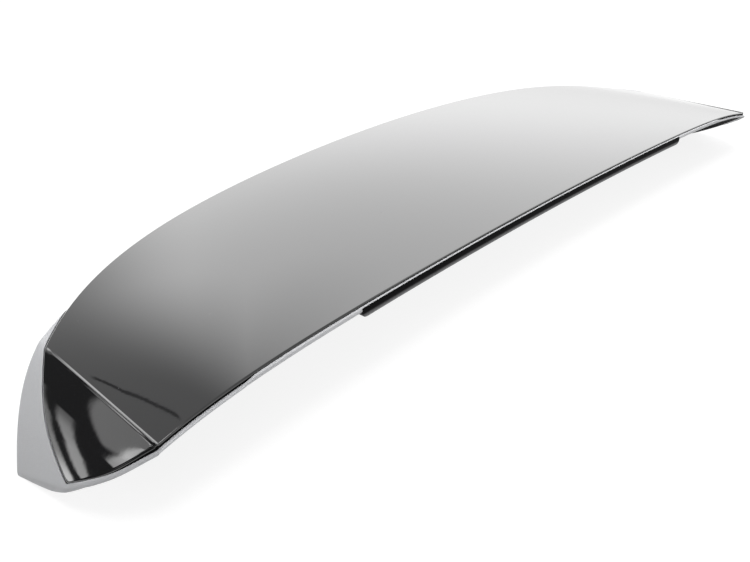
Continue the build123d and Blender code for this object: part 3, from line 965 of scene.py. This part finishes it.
def light_strips():
    """Strips that the left ear shows as streaks, and a dark one that shows as a line on the panel."""
    streak = strip_chain(
        0.95, (-27.8, 26.8, 0.7), (-34.0, 20.0, 1.45), (-38.8, 12.0, 1.9), (-42.4, 5.2, 5.0)
    )
    broad = strip_chain(1.1, (-32.2, 26.0, 0.8), (-35.9, 21.0, 2.1))
    broad += strip_chain(1.0, (-35.9, 21.0, 2.1), (-38.7, 17.4, 2.75))
    broad += strip_chain(1.15, (-38.7, 17.4, 2.75), (-42.4, 10.9, 3.0))
    edge = strip_chain(1.1, (-38.6, 25.3, 3.0), (-35.5, 31.4, 4.2), (-29.0, 39.3, 3.0))
    line = strip_chain(
        0.27, (8.4, 41.95, -0.6), (11.29, 44.07, -0.6), (15.35, 46.04, -0.6), (19.3, 47.55, -0.6)
    )
    return streak + broad + edge + line


def broad_glow(surround):
    """Level and mask of the broad light behind on the right, whose top falls towards the left."""
    beyond = surround.math("SUBTRACT", math.radians(GLOW_TURN), surround.azimuth)
    falling = surround.math("MULTIPLY", surround.math("MAXIMUM", beyond, 0.0), GLOW_SLOPE)
    top = surround.ramp(surround.math("ADD", surround.height, falling), *GLOW_TOP, 1.0, 0.0)
    side = surround.span(surround.azimuth, *GLOW_SIDES, GLOW_SOFT)
    level = surround.ramp(surround.height, *GLOW_HEIGHTS, *GLOW_LEVELS)
    return level, surround.math("MULTIPLY", top, side)


def front_mask(surround):
    """Mask of the low light in front, on both sides of the middle."""
    turn = surround.math("ABSOLUTE", surround.azimuth)
    across = surround.span(turn, *FRONT_AZIMUTHS, FRONT_AZIMUTH_SOFT)
    upward = surround.span(surround.height, *FRONT_HEIGHTS, FRONT_HEIGHT_SOFT)
    return surround.math("MULTIPLY", across, upward)


def patch_mask(surround):
    """Mask of the grey patch above a leaning line, which the left ear shows beside its crease."""
    turned = surround.math("ADD", surround.azimuth, math.radians(PATCH_TURN))
    above = surround.math("SUBTRACT", surround.height, surround.math("MULTIPLY", turned, PATCH_SLOPE))
    patch = surround.ramp(above, *PATCH_EDGE, 0.0, 1.0)
    across = surround.span(surround.azimuth, *PATCH_AZIMUTHS, PATCH_AZIMUTH_SOFT)
    upward = surround.span(surround.height, *PATCH_HEIGHTS, PATCH_HEIGHT_SOFT)
    return surround.math("MULTIPLY", patch, surround.math("MULTIPLY", across, upward))


def light_surround():
    """Soft studio surround: a broad bright side behind on the right and a dark side on the left."""
    world = bpy.data.worlds.new("studio_surround")
    bpy.context.scene.world = world
    world.use_nodes = True
    tree = world.node_tree
    tree.nodes.clear()
    surround = Surround(tree)
    level = surround.zone(PLAIN_LEVEL, *DARK_SIDE)
    level = surround.blend(level, *broad_glow(surround))
    for zone in (BRIGHT_REAR, DARK_REAR, LOW_REAR, CHEEK_LIGHT):
        level = surround.zone(level, *zone)
    level = surround.blend(level, FRONT_LEVEL, front_mask(surround))
    overhead = surround.ramp(surround.height, *OVERHEAD_HEIGHTS, 0.0, 1.0)
    level = surround.blend(level, OVERHEAD_LEVEL, overhead)
    level = surround.blend(level, PATCH_LEVEL, patch_mask(surround))
    for strip in light_strips():
        level = surround.math("ADD", level, surround.strip(*strip))
    level = surround.zone(level, *CREASE_LIGHT)
    level = surround.math("MULTIPLY", level, SURROUND_STRENGTH)
    seen = tree.nodes.new("ShaderNodeLightPath").outputs["Is Camera Ray"]
    level = surround.blend(level, 1.0, seen)
    background = tree.nodes.new("ShaderNodeBackground")
    background.inputs["Color"].default_value = (1.0, 1.0, 1.0, 1.0)
    tree.links.new(level, background.inputs["Strength"])
    output = tree.nodes.new("ShaderNodeOutputWorld")
    tree.links.new(background.outputs["Background"], output.inputs["Surface"])


def floor_finish():
    """White floor that stays white to the camera and keeps the spoiler's shadow."""
    material = bpy.data.materials.new("white_floor")
    material.use_nodes = True
    tree = material.node_tree
    tree.nodes.clear()
    matt = tree.nodes.new("ShaderNodeBsdfDiffuse")
    matt.inputs["Color"].default_value = (FLOOR_MATT, FLOOR_MATT, FLOOR_MATT, 1.0)
    pale = tree.nodes.new("ShaderNodeBsdfDiffuse")
    pale.inputs["Color"].default_value = (FLOOR_PALE, FLOOR_PALE, FLOOR_PALE, 1.0)
    glow = tree.nodes.new("ShaderNodeEmission")
    glow.inputs["Strength"].default_value = FLOOR_GLOW
    lifted = tree.nodes.new("ShaderNodeAddShader")
    tree.links.new(pale.outputs["BSDF"], lifted.inputs[0])
    tree.links.new(glow.outputs["Emission"], lifted.inputs[1])
    path = tree.nodes.new("ShaderNodeLightPath")
    seen = path.outputs["Is Camera Ray"]
    for name in ("Is Glossy Ray", "Is Transmission Ray"):
        either = tree.nodes.new("ShaderNodeMath")
        either.operation = "MAXIMUM"
        tree.links.new(seen, either.inputs[0])
        tree.links.new(path.outputs[name], either.inputs[1])
        seen = either.outputs["Value"]
    mixed = tree.nodes.new("ShaderNodeMixShader")
    tree.links.new(seen, mixed.inputs["Fac"])
    tree.links.new(matt.outputs["BSDF"], mixed.inputs[1])
    tree.links.new(lifted.outputs["Shader"], mixed.inputs[2])
    output = tree.nodes.new("ShaderNodeOutputMaterial")
    tree.links.new(mixed.outputs["Shader"], output.inputs["Surface"])
    return material


class SPOILER_OT_stage(bpy.types.Operator):
    """Set the floor, the studio surround and the camera"""

    bl_idname = "spoiler.stage"
    bl_label = "Stage"

    def execute(self, context):
        bpy.ops.object.select_all(action="DESELECT")
        bpy.ops.mesh.primitive_circle_add(vertices=64, radius=FLOOR_RADIUS, fill_type="NGON")
        floor = context.object
        floor.name = "studio_floor"
        floor.data.materials.append(floor_finish())
        light_surround()
        camera = bpy.data.objects.new("photo_camera", bpy.data.cameras.new("photo_camera"))
        context.scene.collection.objects.link(camera)
        camera.data.lens = CAMERA_LENS
        camera.data.sensor_width = CAMERA_SENSOR
        camera.data.sensor_fit = "HORIZONTAL"
        camera.data.clip_start = 0.01
        camera.location = CAMERA_PLACE
        camera.rotation_euler = Vector(CAMERA_AIM).to_track_quat("-Z", "Y").to_euler()
        context.scene.camera = camera
        context.scene.view_settings.view_transform = "Standard"
        return {"FINISHED"}


class SPOILER_PT_build(bpy.types.Panel):
    """Sidebar panel that builds the spoiler piece by piece"""

    bl_idname = "SPOILER_PT_build"
    bl_label = "Spoiler"
    bl_space_type = "VIEW_3D"
    bl_region_type = "UI"
    bl_category = "Spoiler"

    def draw(self, context):
        for operator in OPERATORS:
            self.layout.operator(operator.bl_idname)


OPERATORS = (
    SPOILER_OT_upper_skin,
    SPOILER_OT_lower_shell,
    SPOILER_OT_edge_seal,
    SPOILER_OT_fasteners,
    SPOILER_OT_stage,
)
CLASSES = (SpoilerSizes, SpoilerColours, *OPERATORS, SPOILER_PT_build)


def register():
    for item in CLASSES:
        bpy.utils.register_class(item)
    bpy.types.Scene.spoiler_sizes = bpy.props.PointerProperty(type=SpoilerSizes)
    bpy.types.Scene.spoiler_colours = bpy.props.PointerProperty(type=SpoilerColours)


def unregister():
    del bpy.types.Scene.spoiler_colours
    del bpy.types.Scene.spoiler_sizes
    for item in reversed(CLASSES):
        bpy.utils.unregister_class(item)


def main():
    register()
    bpy.ops.spoiler.upper_skin()
    bpy.ops.spoiler.lower_shell()
    bpy.ops.spoiler.edge_seal()
    bpy.ops.spoiler.fasteners()
    bpy.ops.spoiler.stage()


if __name__ == "__main__":
    main()
